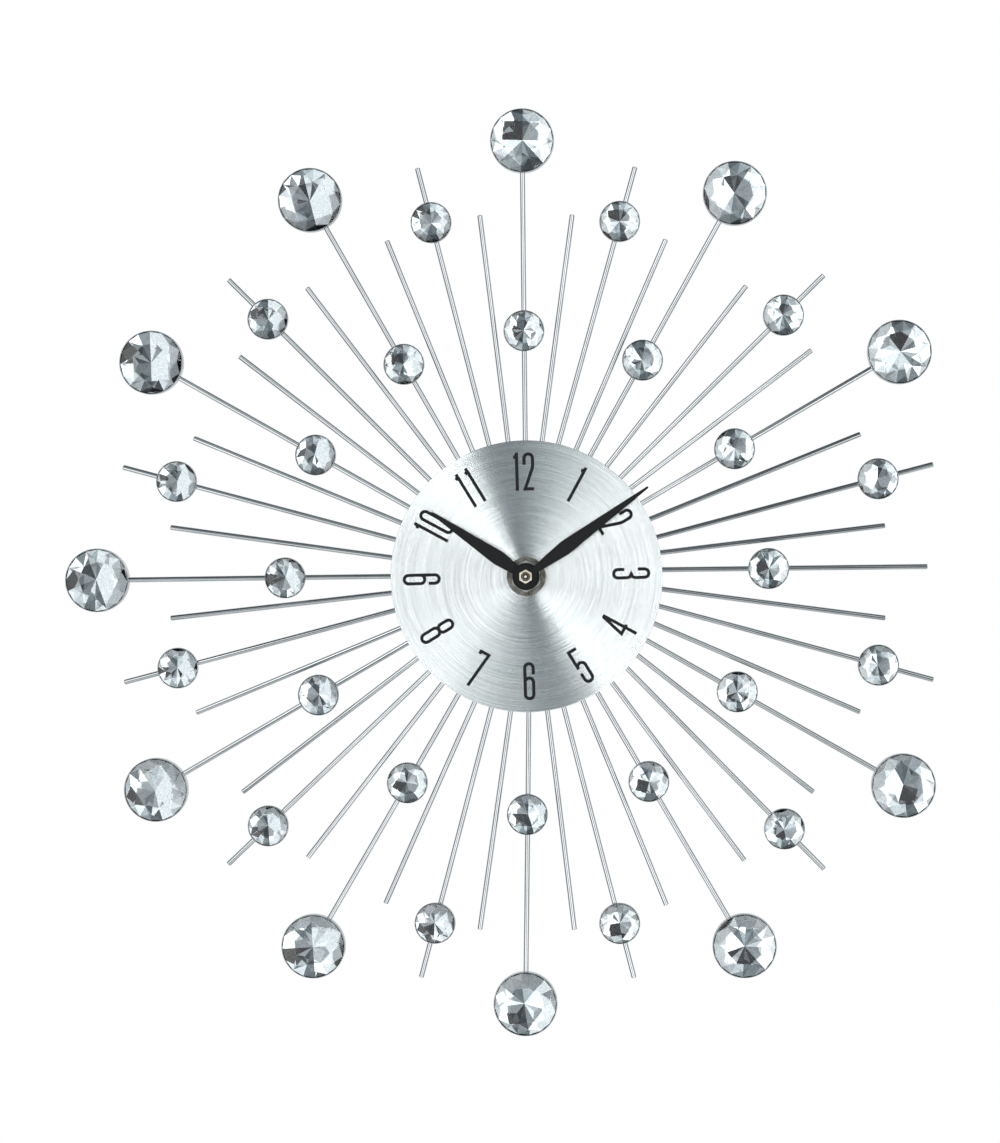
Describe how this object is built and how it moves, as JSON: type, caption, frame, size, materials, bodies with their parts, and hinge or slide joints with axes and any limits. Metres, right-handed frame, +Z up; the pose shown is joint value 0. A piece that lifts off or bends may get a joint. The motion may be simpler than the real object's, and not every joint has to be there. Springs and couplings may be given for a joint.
{
  "type": "sunburst wall clock",
  "caption": "Wall clock with a star of steel rods set with faceted jewels, a round brushed dial, hour and minute hands, and a battery quartz movement with its gear train.",
  "frame": {"origin": "on the axis of the hands, where it meets the flat back of the movement, which rests on the wall", "axes": "+Z up towards 12 o'clock, +X towards 3 o'clock as seen from the front, -Y out of the wall towards the viewer"},
  "size_m": [0.3094, 0.0305, 0.33],
  "materials": {
    "polished_steel": "polished round bar and pressed sheet, bright",
    "jewel": "clear faceted acrylic backed with silver foil",
    "spun_aluminium": "fine concentric spun brushing",
    "black_paint": "matt black",
    "brass": "pale turned brass",
    "nickel": "dull nickel plate",
    "rubber": "plain black",
    "black_plastic": "fine moulded texture",
    "white_plastic": "moulded acetal",
    "magnet": "bonded ferrite",
    "knob_plastic": "moulded",
    "silicon_steel": "stamped sheet",
    "copper": "enamelled winding wire",
    "board": "green solder mask",
    "spring_steel": "nickel-plated strip",
    "battery_can": "printed sleeve over a steel can"
  },
  "bodies": {
    "clock": {"ray_frame": "polished_steel", "dial": "spun_aluminium", "bushing_nut": "nickel", "dial_washer": "nickel", "rubber_washer": "rubber", "movement_case": "black_plastic", "back_cover": "black_plastic", "middle_plate": "white_plastic", "stator": "silicon_steel", "coil": "copper", "circuit_board": "board", "positive_contact": "spring_steel", "negative_contact": "spring_steel", "large_jewel_1": "jewel", "large_jewel_2": "jewel", "large_jewel_4": "jewel", "large_jewel_5": "jewel", "large_jewel_6": "jewel", "large_jewel_7": "jewel", "large_jewel_8": "jewel", "large_jewel_9": "jewel", "large_jewel_10": "jewel", "large_jewel_11": "jewel", "large_jewel_12": "jewel", "inner_jewel_1": "jewel", "inner_jewel_2": "jewel", "inner_jewel_3": "jewel", "inner_jewel_4": "jewel", "inner_jewel_5": "jewel", "inner_jewel_6": "jewel", "inner_jewel_7": "jewel", "inner_jewel_8": "jewel", "inner_jewel_9": "jewel", "inner_jewel_10": "jewel", "inner_jewel_11": "jewel", "inner_jewel_12": "jewel", "outer_jewel_1": "jewel", "outer_jewel_2": "jewel", "outer_jewel_3": "jewel", "outer_jewel_4": "jewel", "outer_jewel_5": "jewel", "outer_jewel_6": "jewel", "outer_jewel_7": "jewel", "outer_jewel_8": "jewel", "outer_jewel_9": "jewel", "outer_jewel_10": "jewel", "outer_jewel_11": "jewel", "outer_jewel_12": "jewel"},
    "minute_arbor": {"minute_hand": "black_paint", "hand_nut": "brass", "centre_wheel": "brass"},
    "hour_arbor": {"hour_hand": "black_paint", "hour_wheel": "white_plastic"},
    "motion_wheel": {"motion_wheel": "white_plastic"},
    "setting_knob": {"setting_knob": "knob_plastic"},
    "third_wheel": {"third_wheel": "white_plastic"},
    "seconds_wheel": {"seconds_wheel": "white_plastic"},
    "intermediate_wheel": {"intermediate_wheel": "white_plastic"},
    "rotor": {"rotor": "magnet"},
    "battery": {"battery": "battery_can"}
  },
  "joints": [
    {"name": "minute_hand_turn", "type": "hinge", "parent": "clock", "child": "minute_arbor", "pos_m": [0, 0, 0], "axis": [0, 1, 0], "continuous": true},
    {"name": "hour_hand_turn", "type": "hinge", "parent": "clock", "child": "hour_arbor", "pos_m": [0, 0, 0], "axis": [0, 1, 0], "continuous": true},
    {"name": "motion_wheel_turn", "type": "hinge", "parent": "clock", "child": "motion_wheel", "pos_m": [-0.00679, 0, 0.00679], "axis": [0, 1, 0], "continuous": true},
    {"name": "setting_knob_turn", "type": "hinge", "parent": "clock", "child": "setting_knob", "pos_m": [-0.01358, 0, 0.01358], "axis": [0, 1, 0], "continuous": true},
    {"name": "third_wheel_turn", "type": "hinge", "parent": "clock", "child": "third_wheel", "pos_m": [0.00867, 0, 0.00153], "axis": [0, 1, 0], "continuous": true},
    {"name": "seconds_wheel_turn", "type": "hinge", "parent": "clock", "child": "seconds_wheel", "pos_m": [0, 0, 0], "axis": [0, 1, 0], "continuous": true},
    {"name": "intermediate_wheel_turn", "type": "hinge", "parent": "clock", "child": "intermediate_wheel", "pos_m": [-0.00113, 0, 0.00638], "axis": [0, 1, 0], "continuous": true},
    {"name": "rotor_turn", "type": "hinge", "parent": "clock", "child": "rotor", "pos_m": [0.00045, 0, 0.01226], "axis": [0, 1, 0], "continuous": true},
    {"name": "battery_slide", "type": "slide", "parent": "clock", "child": "battery", "axis": [0, 1, 0], "range_m": [0, 0.02]}
  ],
  "couplings": [
    {"joint": "hour_hand_turn", "follows": "minute_hand_turn", "ratio": 0.083333},
    {"joint": "motion_wheel_turn", "follows": "minute_hand_turn", "ratio": -0.33333},
    {"joint": "setting_knob_turn", "follows": "minute_hand_turn", "ratio": 1},
    {"joint": "third_wheel_turn", "follows": "minute_hand_turn", "ratio": -8},
    {"joint": "seconds_wheel_turn", "follows": "minute_hand_turn", "ratio": 60},
    {"joint": "intermediate_wheel_turn", "follows": "minute_hand_turn", "ratio": -300},
    {"joint": "rotor_turn", "follows": "minute_hand_turn", "ratio": 1800}
  ]
}
